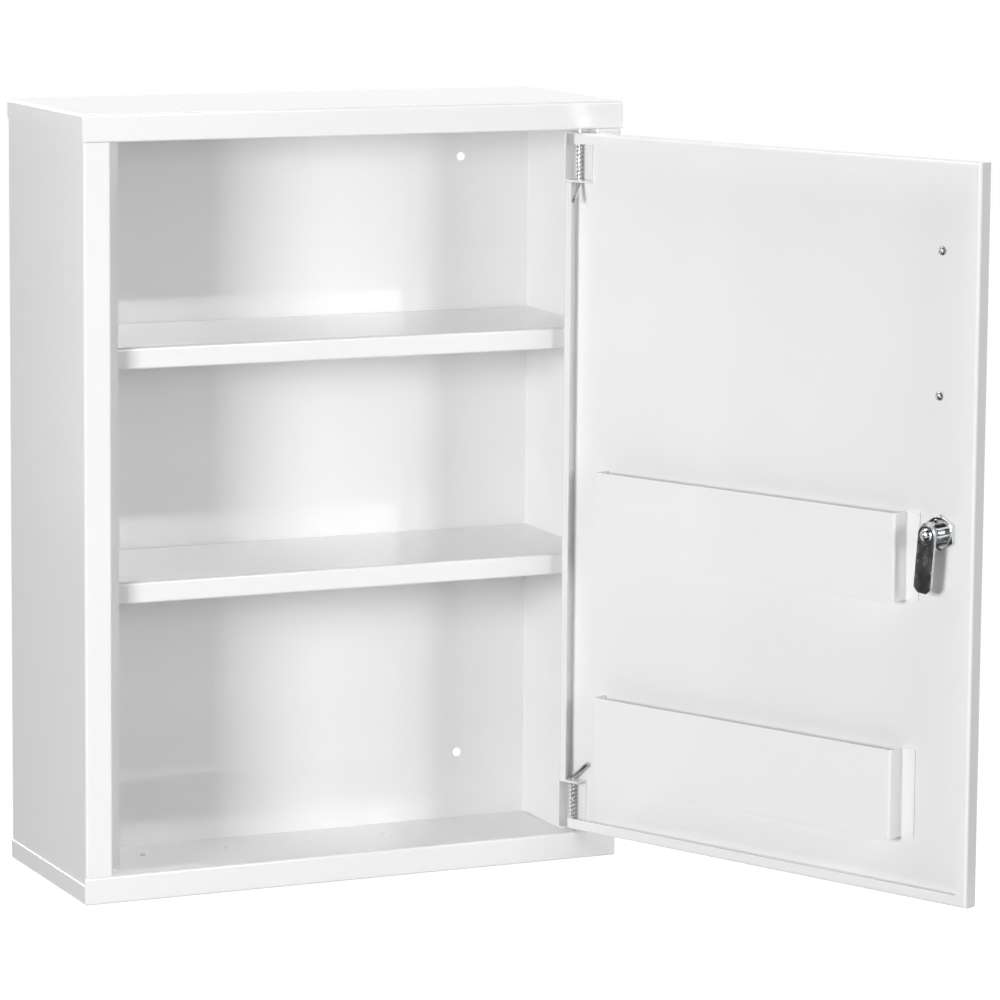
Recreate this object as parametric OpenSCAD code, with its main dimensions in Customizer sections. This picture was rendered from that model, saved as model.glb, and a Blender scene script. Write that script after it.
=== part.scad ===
// Lockable wall cabinet of folded sheet steel, drawn with its door standing open.
// The wall lies along y = 0, the front faces -Y and the origin is the middle of the wall holes.

/* [Cabinet] */
// Width over the side skirts of the two caps
cab_w = 445; // [320:1:700]
// Height from the underside to the top
cab_h = 600; // [540:1:1000]
// Depth from the wall to the front frame
cab_d = 172; // [130:1:320]
// Thickness of the painted sheet
sheet = 1; // [0.7:0.05:1.4]
// Inside radius of the folds in the carcass
fold_r = 1; // [0.6:0.1:1.6]

/* [Front frame] */
// Width of each post, from the cabinet's edge to the doorway
post_w = 22.5; // [18:0.5:40]
// Height of the fascias above and below the doorway
fascia_h = 21.5; // [19:0.5:40]
// Depth of the edges folded back all round the doorway
return_d = 16.5; // [15.5:0.5:20]
// Height of the side skirts that the caps fold over the side panels
skirt_h = 15; // [8:0.5:17]
// Width of the stop strip that the door closes on
stop_w = 11; // [6:0.5:16]
// Gap between the stop strip and the upper ledge
stop_gap_top = 1; // [1:0.5:20]
// Gap between the stop strip and the lower ledge
stop_gap_bottom = 1; // [1:0.5:20]

/* [Shelves] */
// Clear height of the top compartment
top_clear = 178; // [120:1:200]
// Height of the lower shelf's top above the floor
bottom_clear = 240.5; // [180:0.5:250]
// Distance from the front face back to a shelf's lip
shelf_setback = 24.7; // [20:0.1:60]
// Height of a shelf's front lip
lip_h = 16.5; // [10:0.5:25]
// Width of the hem under the front lip
lip_hem = 8; // [4:0.5:15]
// Height of the flanges that carry a shelf at its sides and back
shelf_flange_h = 12; // [8:0.5:16]

/* [Wall holes and rivets] */
// Distance between the wall holes across the cabinet
hole_span_x = 322; // [200:1:400]
// Distance between the wall holes up the cabinet
hole_span_z = 490; // [300:1:500]
// Diameter of a wall hole
wall_hole_d = 7; // [4:0.5:10]
// Distance from the wall to the row of rivets in the floor
rivet_to_wall = 33; // [15:1:60]
// Diameter of a rivet's domed head
rivet_head_d = 4.6; // [3:0.1:6]
// Diameter of a rivet's shank
rivet_shank_d = 2.4; // [1.6:0.1:2.8]

/* [Door] */
// Angle that the door stands open
door_open = 114; // [0:1:118]
// Depth of the door's pan
pan_d = 14; // [12:0.5:15]
// Distance that the door's face lies behind the front frame when shut
door_recess = 0.6; // [0:0.1:1]
// Inside radius of the door's folds
door_fold_r = 1.5; // [1:0.1:1.8]
// Gap between the door and the hinge-side post
hinge_gap = 1.8; // [1.6:0.1:2.4]
// Gap between the door's free edge and the other post
free_gap = 1.5; // [1.3:0.1:4]
// Gap above and below the door
end_gap = 2.5; // [1:0.1:4]
// Width of the flange along the free edge
free_flange_w = 9.5; // [6:0.5:14]
// Height of the flanges along the top and bottom edges
end_flange_h = 8.8; // [6:0.2:14]
// Width of the flange along the hinge edge
hinge_flange_w = 7; // [4:0.2:7.2]

/* [Hinges] */
// Distance from the hinge axis to the post beside it
hinge_inset = 11; // [11:0.1:13]
// Distance from the front face back to the hinge axis
hinge_setback = 7.2; // [7:0.1:7.6]
// Distance from the door's end to a hinge bracket's tab
tab_drop = 38; // [32:0.5:60]
// Width of a hinge bracket
bracket_w = 17.6; // [14:0.2:17.6]
// Thickness of a hinge bracket
bracket_t = 1.5; // [1:0.1:2]
// Distance that a tab stands off the door's skin
tab_reach = 12.1; // [9:0.1:13]
// Diameter of a hinge pin
pin_d = 3.3; // [2.5:0.1:3.6]
// Length of pin beyond the ledge that it turns in
pin_beyond = 3.5; // [2:0.5:6]
// Straight length of a pin's bent arm
arm_len = 17; // [8:0.5:20]
// Angle that the arm is bent to
arm_bend = 47; // [30:1:80]
// Radius of the arm's bend, to the middle of the pin
arm_bend_r = 3.4; // [2.5:0.1:5]
// Direction of the upper pin's arm, turned from the door towards the inside
upper_arm_turn = 70; // [40:1:110]
// Direction of the lower pin's arm, turned from the door towards the inside
lower_arm_turn = -8; // [-10:1:80]
// Turns in each hinge spring
spring_turns = 11; // [6:1:12]
// Diameter of the spring wire
wire_d = 0.9; // [0.6:0.05:1.1]
// Diameter of a spring, to the middle of its wire
spring_mid_d = 5.2; // [5:0.1:5.8]
// Diameter of the collar that a spring pushes on
collar_d = 6; // [5:0.1:7]
// Thickness of the collar
collar_t = 1.2; // [0.8:0.1:2]

/* [Door pockets] */
// Distance from the lock's axis to a pocket's front
pocket_to_lock = 30.8; // [26:0.1:120]
// Distance from the hinge axis to a pocket's front
pocket_from_hinge = 28; // [24:0.1:60]
// Depth of a pocket, from the skin to its front face
pocket_d = 16.4; // [10:0.1:20]
// Width of the flanges beside a pocket
pocket_flange_w = 11.5; // [6:0.5:14]
// Height of the upper pocket
upper_pocket_h = 66.7; // [40:0.1:90]
// Height of the lower pocket
lower_pocket_h = 67.7; // [40:0.1:90]
// Distance from the door's bottom edge to the upper pocket
upper_pocket_rise = 221.8; // [160:0.1:240]
// Distance from the door's bottom edge to the lower pocket
lower_pocket_rise = 42.3; // [20:0.1:60]
// Height of the flange behind a pocket's floor
pocket_back_h = 9; // [5:0.5:20]

/* [Pull handle] */
// Distance from the free edge to the handle's screws
handle_from_edge = 42.5; // [25:0.5:60]
// Height of the lower screw above the lock
handle_above_lock = 101; // [40:0.5:140]
// Distance between the handle's screws
handle_span = 107.3; // [64:0.1:128]
// Diameter of the handle's bar
handle_bar_d = 9; // [8:0.5:14]
// Distance from the door to the middle of the bar
handle_out = 26; // [20:0.5:40]
// Radius of the handle's bends, to the middle of the bar
handle_bend_r = 12; // [8:0.5:16]
// Diameter of the handle's feet
handle_foot_d = 13; // [12:0.5:18]
// Thickness of the handle's feet
handle_foot_t = 2; // [1:0.5:5]
// Diameter of a handle screw
handle_screw_d = 3.5; // [3:0.1:4]
// Diameter of a handle screw's head
handle_head_d = 7.2; // [6:0.1:8]
// Height of a handle screw's head
handle_head_h = 2.6; // [1.5:0.1:3]
// Depth that a screw reaches into the handle
handle_screw_depth = 12; // [6:0.5:16]

/* [Cam lock] */
// Distance from the free edge to the lock's axis
lock_from_edge = 38; // [24:0.5:46]
// Diameter of the barrel
barrel_d = 19; // [18:0.1:20]
// Distance across the barrel's two flats
barrel_flats = 16.5; // [15:0.1:17.5]
// Length of the barrel behind the skin
barrel_len = 16.6; // [15.8:0.1:22]
// Diameter of the barrel's collar on the door's face
bezel_d = 23; // [21:0.5:30]
// Thickness of that collar
bezel_t = 2.2; // [1.5:0.1:4]
// Distance across the flats of the nut
nut_af = 24; // [22:0.5:26]
// Thickness of the nut
nut_t = 4; // [3:0.1:5]
// Diameter of the plug that the key turns
plug_d = 12; // [10:0.1:13]
// Diameter of the plug's head
plug_head_d = 14.5; // [13.5:0.1:16]
// Thickness of the plug's head
plug_head_t = 1.6; // [1:0.1:2]
// Length of the plug beyond the barrel
plug_beyond = 0.2; // [0.1:0.05:1]
// Side of the square on the plug that drives the cam
square_side = 7; // [6:0.1:8]
// Width of the keyhole
keyhole_w = 1.8; // [1:0.1:3]
// Length of the keyhole
keyhole_len = 8; // [5:0.5:10]
// Depth of the keyhole
keyhole_depth = 14; // [4:0.5:16]
// Width of the cam
cam_w = 16; // [12:0.5:18]
// Distance from the lock's axis to the cam's tip
cam_len = 44; // [34:0.5:46]
// Thickness of the cam
cam_t = 2; // [1.5:0.1:3]
// Side of the cut on each corner of the cam's tip
cam_corner = 4; // [2:0.5:6]
// Angle of the cam's tip from straight down, towards the hinges
cam_tilt = 4.6; // [0:0.1:10]
// Diameter of the washer on the cam
washer_d = 14.5; // [13:0.5:16]
// Thickness of the washer
washer_t = 0.8; // [0.5:0.1:1.5]
// Diameter of the cam screw
cam_screw_d = 4; // [3:0.1:5]
// Diameter of the cam screw's domed head
cam_head_d = 10.5; // [8:0.1:12]
// Height of the cam screw's domed head
cam_head_h = 3.6; // [2.5:0.1:4.5]
// Depth that the cam screw reaches into the plug
cam_screw_depth = 9; // [5:0.5:12]

/* [Hidden] */
$fn = 48;

// Radial clearance of a pin or plug that turns in its hole
run_fit = 0.08;
// Radial clearance of a screw, rivet or barrel in its hole
hole_fit = 0.15;
// Clearance between pieces that pass each other
clear = 0.3;
// Rivet places across the floor, measured from the cabinet's middle
rivet_x = [-124.5, -53.5, 19.5, 81.5];

// Carcass: x and z of its faces, with y of the front
front = -cab_d;
top = cab_h / 2;
side_out = cab_w / 2 - sheet;
side_in = side_out - sheet;
doorway_x = cab_w / 2 - post_w;
doorway_z = cab_h / 2 - fascia_h;
return_end = front + return_d;
upper_shelf_top = top - sheet - top_clear;
lower_shelf_top = -top + sheet + bottom_clear;

// Door: measured from the hinge axis with the door shut
hinge_x = doorway_x - hinge_inset;
hinge_y = front + hinge_setback;
door_face = door_recess - hinge_setback;
skin_in = door_face + sheet;
pan_in = door_face + pan_d;
door_hinge_edge = hinge_inset - hinge_gap;
door_free_edge = free_gap + hinge_inset - 2 * doorway_x;
door_z = doorway_z - end_gap;
door_w = door_hinge_edge - door_free_edge;
door_out_r = door_fold_r + sheet;
wall_in = door_hinge_edge - sheet;
end_flange_start = -0.75;

// Hinge pins: heights of the upper one, which the lower one mirrors
tab_z = door_z - tab_drop;
tab_top = tab_z + bracket_t / 2;
arm_start = tab_z - bracket_t / 2 - clear;
pin_tip = doorway_z + sheet + pin_beyond;
collar_top = door_z - sheet - clear;
collar_low = collar_top - collar_t;
spring_low = tab_top + wire_d / 2 + clear / 3;
spring_high = collar_low - wire_d / 2 - clear;
tip_cone = 0.8;
bend_thinning = 0.05;

// Lock: heights along its axis, measured inwards from the skin's inner face
lock_x = door_free_edge + lock_from_edge;
plug_end = barrel_len + plug_beyond;
cam_end = plug_end + cam_t;
washer_end = cam_end + washer_t;
handle_x = door_free_edge + handle_from_edge;
pocket_w = -lock_x - pocket_to_lock - pocket_from_hinge;

// Colours
paint = [0.93, 0.93, 0.93];
zinc = [0.78, 0.79, 0.80];
chrome = [0.85, 0.86, 0.88];
spring_steel = [0.70, 0.71, 0.72];

// Unit vector along v
function unit(v) = v / norm(v);

// A square fold at corner p, between the directions in and out, as a quarter of a ring
module fold_corner(p, in, out, r_in, t) {
    middle = p + (out - in) * (r_in + t / 2);
    reach = r_in + t;
    intersection() {
        translate(middle) difference() {
            circle(r = reach);
            circle(r = r_in);
        }
        polygon([middle, middle + in * reach, middle + (in - out) * reach, middle - out * reach]);
    }
}

// The section of a sheet folded along the centre line path, whose corners are all square
module folded(path, r_in, t = sheet) {
    last = len(path) - 1;
    r_mid = r_in + t / 2;
    for (i = [0 : last - 1]) {
        dir = unit(path[i + 1] - path[i]);
        side = [-dir[1], dir[0]] * t / 2;
        from = path[i] + dir * (i == 0 ? 0 : r_mid);
        to = path[i + 1] - dir * (i == last - 1 ? 0 : r_mid);
        polygon([from - side, to - side, to + side, from + side]);
    }
    for (i = [1 : last - 1])
        fold_corner(path[i], unit(path[i] - path[i - 1]), unit(path[i + 1] - path[i]), r_in, t);
}

// A rectangle from low to high whose corners are rounded by radii r, from lower left clockwise
module rounded_box(low, high, r) {
    corners = [low, [low[0], high[1]], high, [high[0], low[1]]];
    inward = [[1, 1], [1, -1], [-1, -1], [-1, 1]];
    difference() {
        polygon(corners);
        for (i = [0 : 3]) if (r[i] > 0) difference() {
            polygon([
                corners[i] - inward[i],
                corners[i] + [inward[i][0] * r[i], -inward[i][1]],
                corners[i] + inward[i] * r[i],
                corners[i] + [-inward[i][0], inward[i][1] * r[i]]
            ]);
            translate(corners[i] + inward[i] * r[i]) circle(r = r[i]);
        }
    }
}

// Draws a section given as (y, z) from x = from to x = to
module along_x(from, to) {
    translate([from, 0, 0]) rotate([90, 0, 90]) linear_extrude(to - from) children();
}

// Draws a section given as (x, z) from y = from to y = to
module along_y(from, to) {
    translate([0, to, 0]) rotate([90, 0, 0]) linear_extrude(to - from) children();
}

// Draws a section given as (x, y) from z = from to z = to
module along_z(from, to) {
    translate([0, 0, from]) linear_extrude(to - from) children();
}

// Places what is drawn for the shut door, from the hinge axis, on the door as it stands open
module on_door() {
    translate([hinge_x, hinge_y, 0]) rotate([0, 0, door_open]) children();
}

// Places what is drawn along +Z, from the skin's inner face towards the inside, at x and z of the door
module through_door(x, z) {
    on_door() translate([x, skin_in, z]) rotate([-90, 0, 0]) children();
}

// A cap: plate, fascia, the ledge over the doorway and two side skirts, with the hinge pin's hole
module cap() {
    out_r = fold_r + sheet;
    plate_z = top - sheet / 2;
    skirt_x = cab_w / 2 - sheet / 2;
    difference() {
        intersection() {
            union() {
                difference() {
                    along_x(-cab_w / 2, cab_w / 2) folded([
                        [0, plate_z],
                        [front + sheet / 2, plate_z],
                        [front + sheet / 2, doorway_z + sheet / 2],
                        [return_end, doorway_z + sheet / 2]
                    ], fold_r);
                    for (side = [0, 1]) mirror([side, 0, 0])
                        translate([side_in, front + sheet, doorway_z - sheet])
                            cube([post_w, cab_d, fascia_h]);
                }
                along_y(front, 0) folded([
                    [-skirt_x, top - skirt_h],
                    [-skirt_x, plate_z],
                    [skirt_x, plate_z],
                    [skirt_x, top - skirt_h]
                ], fold_r);
            }
            along_x(-cab_w / 2, cab_w / 2) rounded_box([front, 0], [0, top], [0, out_r, 0, 0]);
            along_y(front, 0) rounded_box([-cab_w / 2, 0], [cab_w / 2, top], [0, out_r, out_r, 0]);
        }
        translate([hinge_x, hinge_y, doorway_z - sheet])
            cylinder(d = pin_d + 2 * run_fit, h = 3 * sheet);
    }
}

module top_panel() {
    color(paint) cap();
}

module bottom_panel() {
    color(paint) difference() {
        mirror([0, 0, 1]) cap();
        for (x = rivet_x) translate([x, -rivet_to_wall, -top - sheet])
            cylinder(d = rivet_shank_d + 2 * hole_fit, h = 3 * sheet);
    }
}

// The right side panel: side, post and the return beside the doorway, and a stop strip where asked
module side_panel(with_stop) {
    side_mid = side_out - sheet / 2;
    post_mid = front + sheet / 2;
    return_mid = doorway_x + sheet / 2;
    section = [[side_mid, 0], [side_mid, post_mid], [return_mid, post_mid], [return_mid, return_end]];
    stop_mid = return_end - sheet / 2;
    stop_section = [
        section[0], section[1], section[2],
        [return_mid, stop_mid], [doorway_x - stop_w, stop_mid]
    ];
    stop_low = -doorway_z + stop_gap_bottom;
    stop_high = doorway_z - stop_gap_top;
    if (with_stop) {
        along_z(-doorway_z, stop_low) folded(section, fold_r);
        along_z(stop_low, stop_high) folded(stop_section, fold_r);
        along_z(stop_high, doorway_z) folded(section, fold_r);
    } else {
        along_z(-doorway_z, doorway_z) folded(section, fold_r);
    }
    // Beside the fascias only the side itself runs on, and ends where the caps' folds begin
    for (end = [0, 1]) mirror([0, 0, end])
        translate([side_in, front + sheet, doorway_z]) cube([sheet, cab_d - sheet, fascia_h - sheet - fold_r]);
}

module left_side_panel() {
    color(paint) mirror([1, 0, 0]) side_panel(true);
}

module right_side_panel() {
    color(paint) side_panel(false);
}

module back_panel() {
    color(paint) difference() {
        translate([-side_in, -sheet, sheet - top]) cube([2 * side_in, sheet, cab_h - 2 * sheet]);
        for (x = [-1, 1], z = [-1, 1])
            translate([x * hole_span_x / 2, sheet, z * hole_span_z / 2])
                rotate([90, 0, 0]) cylinder(d = wall_hole_d, h = 3 * sheet);
    }
}

// A shelf whose top lies at z: a tray turned over, with a lip and hem in front
module shelf(z) {
    lip_mid = front + shelf_setback + sheet / 2;
    plate_mid = z - sheet / 2;
    back_mid = -sheet - sheet / 2;
    along_x(-side_in, side_in) folded([
        [back_mid, z - shelf_flange_h],
        [back_mid, plate_mid],
        [lip_mid, plate_mid],
        [lip_mid, z - lip_h + sheet / 2],
        [lip_mid + lip_hem, z - lip_h + sheet / 2]
    ], fold_r);
    for (side = [0, 1]) mirror([side, 0, 0])
        translate([side_in - sheet, lip_mid + sheet, z - shelf_flange_h])
            cube([sheet, back_mid - lip_mid - 2 * sheet, shelf_flange_h - sheet / 2]);
}

module upper_shelf() {
    color(paint) shelf(upper_shelf_top);
}

module lower_shelf() {
    color(paint) shelf(lower_shelf_top);
}

module floor_rivets() {
    head_h = rivet_head_d / 3;
    dome_r = (pow(rivet_head_d / 2, 2) + pow(head_h, 2)) / (2 * head_h);
    color(paint) for (x = rivet_x) translate([x, -rivet_to_wall, sheet - top]) {
        intersection() {
            translate([0, 0, head_h - dome_r]) sphere(r = dome_r);
            cylinder(d = rivet_head_d, h = head_h);
        }
        translate([0, 0, -sheet]) cylinder(d = rivet_shank_d, h = sheet);
    }
}

// The door: one skin with its four edges folded in, and flanges folded along them
module door_panel() {
    free_mid = door_free_edge + sheet / 2;
    skin_mid = door_face + sheet / 2;
    hinge_mid = door_hinge_edge - sheet / 2;
    flange_mid = pan_in - sheet / 2;
    end_mid = door_z - sheet / 2;
    side_section = [
        [door_free_edge + free_flange_w, flange_mid],
        [free_mid, flange_mid],
        [free_mid, skin_mid],
        [hinge_mid, skin_mid]
    ];
    flange_leg = [[hinge_mid, flange_mid], [door_hinge_edge - hinge_flange_w, flange_mid]];
    end_walls = [[pan_in, end_mid], [skin_mid, end_mid], [skin_mid, -end_mid], [pan_in, -end_mid]];
    end_section = [
        [flange_mid, door_z - end_flange_h],
        [flange_mid, end_mid],
        end_walls[1],
        end_walls[2],
        [flange_mid, -end_mid],
        [flange_mid, end_flange_h - door_z]
    ];
    r = door_out_r;
    color(paint) on_door() difference() {
        intersection() {
            union() {
                along_z(-arm_start, arm_start) folded(concat(side_section, flange_leg), door_fold_r);
                for (end = [0, 1]) mirror([0, 0, end])
                    along_z(arm_start, door_z)
                        folded(concat(side_section, [[hinge_mid, pan_in]]), door_fold_r);
                along_x(door_free_edge + free_flange_w, end_flange_start) folded(end_section, door_fold_r);
                along_x(door_free_edge, door_hinge_edge) folded(end_walls, door_fold_r);
            }
            along_z(-door_z, door_z)
                rounded_box([door_free_edge, door_face], [door_hinge_edge, pan_in], [r, r, 0, r]);
            along_x(door_free_edge, door_hinge_edge)
                rounded_box([door_face, -door_z], [pan_in, door_z], [r, r, r, r]);
        }
        for (end = [-1, 1]) translate([0, 0, end * end_mid])
            cylinder(d = pin_d + 2 * run_fit, h = 3 * sheet, center = true);
        translate([lock_x, skin_in + sheet, 0]) rotate([90, 0, 0])
            linear_extrude(3 * sheet) barrel_section(hole_fit);
        for (z = [0, handle_span])
            translate([handle_x, skin_in + sheet, handle_above_lock + z]) rotate([90, 0, 0])
                cylinder(d = handle_screw_d + 2 * hole_fit, h = 3 * sheet);
    }
}

// A hinge bracket: a plate on the skin and a tab that the pin passes through, clear of the door's folds
module hinge_bracket() {
    plate_mid = skin_in + bracket_t / 2;
    fold_room = door_fold_r + clear;
    on_door() difference() {
        along_x(wall_in - bracket_w, wall_in) folded([
            [plate_mid, door_z - sheet - fold_room],
            [plate_mid, tab_z],
            [skin_in + tab_reach, tab_z]
        ], fold_r, bracket_t);
        translate([wall_in - fold_room, skin_in - fold_room, 0])
            cube([2 * fold_room, 2 * fold_room, door_z]);
        translate([0, 0, tab_z - bracket_t]) cylinder(d = pin_d + 2 * run_fit, h = 3 * bracket_t);
    }
}

module upper_hinge_bracket() {
    color(paint) hinge_bracket();
}

module lower_hinge_bracket() {
    color(paint) mirror([0, 0, 1]) hinge_bracket();
}

// The upper pin: a straight rod with a pointed tip and an arm bent out to hold it by.
// The rod thins in its bend, which runs on a little inside the two straight stretches.
module hinge_pin(arm_turn) {
    r = pin_d / 2;
    lap = 4;
    on_door() {
        translate([0, 0, pin_tip - tip_cone]) cylinder(r1 = r, r2 = r / 2, h = tip_cone);
        translate([0, 0, arm_start]) cylinder(r = r, h = pin_tip - tip_cone - arm_start);
        rotate([0, 0, -arm_turn]) translate([-arm_bend_r, 0, arm_start]) rotate([90, 0, 0]) {
            rotate([0, 0, -arm_bend - lap]) rotate_extrude(angle = arm_bend + 2 * lap)
                translate([arm_bend_r, 0]) circle(r = r - bend_thinning);
            rotate([0, 0, -arm_bend]) translate([arm_bend_r, 0, 0]) rotate([90, 0, 0])
                cylinder(r = r, h = arm_len);
        }
    }
}

module upper_hinge_pin() {
    color(zinc) hinge_pin(upper_arm_turn);
}

module lower_hinge_pin() {
    color(zinc) mirror([0, 0, 1]) hinge_pin(lower_arm_turn);
}

// The collar that is pressed on the upper pin for its spring to push on
module pin_collar() {
    on_door() translate([0, 0, collar_low]) difference() {
        cylinder(d = collar_d, h = collar_t);
        translate([0, 0, -collar_t]) cylinder(d = pin_d, h = 3 * collar_t);
    }
}

module upper_pin_collar() {
    color(zinc) pin_collar();
}

module lower_pin_collar() {
    color(zinc) mirror([0, 0, 1]) pin_collar();
}

// Rings and sides of the spring's tube, and the points of its ring i
ring_steps = 8;
tube_sides = 6;
spring_rings = spring_turns * ring_steps;
spring_r = spring_mid_d / 2;
spring_rise = (spring_high - spring_low) / spring_rings;
function spring_mid(i) = [
    spring_r * cos(i * 360 / ring_steps),
    spring_r * sin(i * 360 / ring_steps),
    spring_low + spring_rise * i
];
function spring_ring(i) =
    let (
        angle = i * 360 / ring_steps,
        out = [cos(angle), sin(angle), 0],
        along = unit([-sin(angle), cos(angle), spring_rise * ring_steps / (2 * PI * spring_r)]),
        across = cross(along, out)
    )
    [for (k = [0 : tube_sides - 1])
        spring_mid(i) + wire_d / 2 * (cos(k * 360 / tube_sides) * out + sin(k * 360 / tube_sides) * across)];

// The spring: one tube wound round the hinge axis, between the upper tab and the upper collar
module hinge_spring() {
    points = [for (i = [0 : spring_rings]) each spring_ring(i)];
    last = spring_rings * tube_sides;
    walls = [for (i = [0 : spring_rings - 1]) for (k = [0 : tube_sides - 1])
        let (
            a = i * tube_sides + k,
            b = i * tube_sides + (k + 1) % tube_sides
        )
        each [[a, b, b + tube_sides], [a, b + tube_sides, a + tube_sides]]];
    ends = [for (k = [1 : tube_sides - 2]) each [[0, k + 1, k], [last, last + k, last + k + 1]]];
    polyhedron(points, concat(walls, ends));
}

// Least gap between one turn's ring points and the next turn's
spring_gap = min([for (i = [0 : ring_steps], a = spring_ring(i), b = spring_ring(i + ring_steps)) norm(a - b)]);
echo(spring_gap = spring_gap);

module upper_hinge_spring() {
    color(spring_steel) on_door() hinge_spring();
}

// The lower spring is the same one turned over
module lower_hinge_spring() {
    color(spring_steel) on_door() rotate([180, 0, 0]) hinge_spring();
}

// A door pocket: front and sides folded from one strip, with a floor folded back under them
module door_pocket(rise, height) {
    right = -pocket_from_hinge;
    left = right - pocket_w;
    low = rise - door_z;
    flange_mid = skin_in + sheet / 2;
    front_mid = skin_in + pocket_d - sheet / 2;
    left_mid = left + sheet / 2;
    right_mid = right - sheet / 2;
    color(paint) on_door() {
        along_z(low, low + height) folded([
            [left - pocket_flange_w, flange_mid],
            [left_mid, flange_mid],
            [left_mid, front_mid],
            [right_mid, front_mid],
            [right_mid, flange_mid],
            [right + pocket_flange_w, flange_mid]
        ], fold_r);
        along_x(left + sheet, right - sheet) folded([
            [front_mid, low + 3 * sheet],
            [front_mid, low + sheet / 2],
            [flange_mid, low + sheet / 2],
            [flange_mid, low + pocket_back_h]
        ], fold_r);
    }
}

module upper_door_pocket() {
    door_pocket(upper_pocket_rise, upper_pocket_h);
}

module lower_door_pocket() {
    door_pocket(lower_pocket_rise, lower_pocket_h);
}

// The pull handle: a bar bent to two legs, with a foot and a screw hole at each
module pull_handle() {
    r = handle_bar_d / 2;
    leg = handle_out - handle_bend_r;
    color(chrome) through_door(handle_x, handle_above_lock) {
        difference() {
            union() {
                for (y = [0, -handle_span]) translate([0, y, -sheet]) mirror([0, 0, 1]) {
                    cylinder(d = handle_foot_d, h = handle_foot_t);
                    cylinder(r = r, h = leg);
                }
                for (end = [0, 1])
                    translate([0, -handle_span / 2, -sheet - leg]) mirror([0, end, 0])
                        translate([0, handle_span / 2 - handle_bend_r, 0]) rotate([0, 90, 0])
                            rotate_extrude(angle = 90) translate([handle_bend_r, 0]) circle(r = r);
                translate([0, handle_bend_r - handle_span, -sheet - handle_out]) rotate([-90, 0, 0])
                    cylinder(r = r, h = handle_span - 2 * handle_bend_r);
            }
            for (y = [0, -handle_span]) translate([0, y, -sheet - handle_screw_depth])
                cylinder(d = handle_screw_d, h = handle_screw_depth + sheet);
        }
    }
}

// The two screws that hold the handle, their heads on the skin
module handle_screws() {
    color(zinc) for (y = [0, -handle_span]) through_door(handle_x, handle_above_lock) translate([0, y, 0]) {
        translate([0, 0, -sheet - handle_screw_depth + clear])
            cylinder(d = handle_screw_d, h = handle_screw_depth + sheet - clear);
        dome(handle_head_d, handle_head_h);
    }
}

// A domed head of diameter d and height h that stands on z = 0
module dome(d, h) {
    dome_r = (pow(d / 2, 2) + pow(h, 2)) / (2 * h);
    intersection() {
        translate([0, 0, h - dome_r]) sphere(r = dome_r);
        cylinder(d = d, h = h);
    }
}

// The barrel's section: a circle with two flats, grown by fit for the hole that it passes
module barrel_section(fit = 0) {
    intersection() {
        circle(d = barrel_d + 2 * fit);
        square([barrel_d + 2 * sheet, barrel_flats + 2 * fit], center = true);
    }
}

module lock_housing() {
    color(chrome) through_door(lock_x, 0) difference() {
        union() {
            translate([0, 0, -sheet - bezel_t]) cylinder(d = bezel_d, h = bezel_t);
            translate([0, 0, -sheet]) linear_extrude(barrel_len + sheet) barrel_section();
        }
        translate([0, 0, -2 * sheet - bezel_t])
            cylinder(d = plug_d + 2 * run_fit, h = barrel_len + 3 * sheet + bezel_t);
        translate([0, 0, -sheet - 2 * bezel_t])
            cylinder(d = plug_head_d + 2 * run_fit, h = bezel_t + plug_head_t + clear);
    }
}

module lock_nut() {
    color(chrome) through_door(lock_x, 0) difference() {
        rotate([0, 0, 90]) cylinder(d = nut_af / cos(30), h = nut_t, $fn = 6);
        translate([0, 0, -nut_t]) cylinder(d = barrel_d + 2 * hole_fit, h = 3 * nut_t);
    }
}

// The plug: head, body and the square that drives the cam, with a keyhole and a screw hole
module lock_plug() {
    face = -sheet - bezel_t;
    color(chrome) through_door(lock_x, 0) difference() {
        union() {
            translate([0, 0, face]) cylinder(d = plug_head_d, h = plug_head_t);
            translate([0, 0, face]) cylinder(d = plug_d, h = plug_end - face);
            translate([0, 0, plug_end]) cam_turn() linear_extrude(cam_t)
                square(square_side, center = true);
        }
        translate([0, 0, face - sheet]) linear_extrude(keyhole_depth + sheet)
            square([keyhole_w, keyhole_len], center = true);
        translate([0, 0, cam_end - cam_screw_depth]) cylinder(d = cam_screw_d, h = cam_screw_depth + sheet);
    }
}

// Turns the cam's own direction, straight down, to where it stands
module cam_turn() {
    rotate([0, 0, -cam_tilt]) children();
}

module lock_cam() {
    half = cam_w / 2;
    color(zinc) through_door(lock_x, 0) translate([0, 0, plug_end]) cam_turn() linear_extrude(cam_t)
        difference() {
            union() {
                circle(r = half);
                polygon([
                    [-half, 0], [half, 0],
                    [half, cam_len - cam_corner], [half - cam_corner, cam_len],
                    [cam_corner - half, cam_len], [-half, cam_len - cam_corner]
                ]);
            }
            square(square_side + run_fit, center = true);
        }
}

module cam_washer() {
    color(zinc) through_door(lock_x, 0) translate([0, 0, cam_end]) difference() {
        cylinder(d = washer_d, h = washer_t);
        translate([0, 0, -washer_t]) cylinder(d = cam_screw_d + 2 * hole_fit, h = 3 * washer_t);
    }
}

module cam_screw() {
    color(zinc) through_door(lock_x, 0) {
        translate([0, 0, cam_end - cam_screw_depth + clear])
            cylinder(d = cam_screw_d, h = washer_end - cam_end + cam_screw_depth - clear);
        translate([0, 0, washer_end]) dome(cam_head_d, cam_head_h);
    }
}

top_panel();
bottom_panel();
left_side_panel();
right_side_panel();
back_panel();
upper_shelf();
lower_shelf();
floor_rivets();
door_panel();
upper_hinge_bracket();
lower_hinge_bracket();
upper_hinge_spring();
lower_hinge_spring();
upper_hinge_pin();
upper_pin_collar();
lower_hinge_pin();
lower_pin_collar();
upper_door_pocket();
lower_door_pocket();
pull_handle();
handle_screws();
lock_housing();
lock_nut();
lock_plug();
lock_cam();
cam_washer();
cam_screw();
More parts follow.
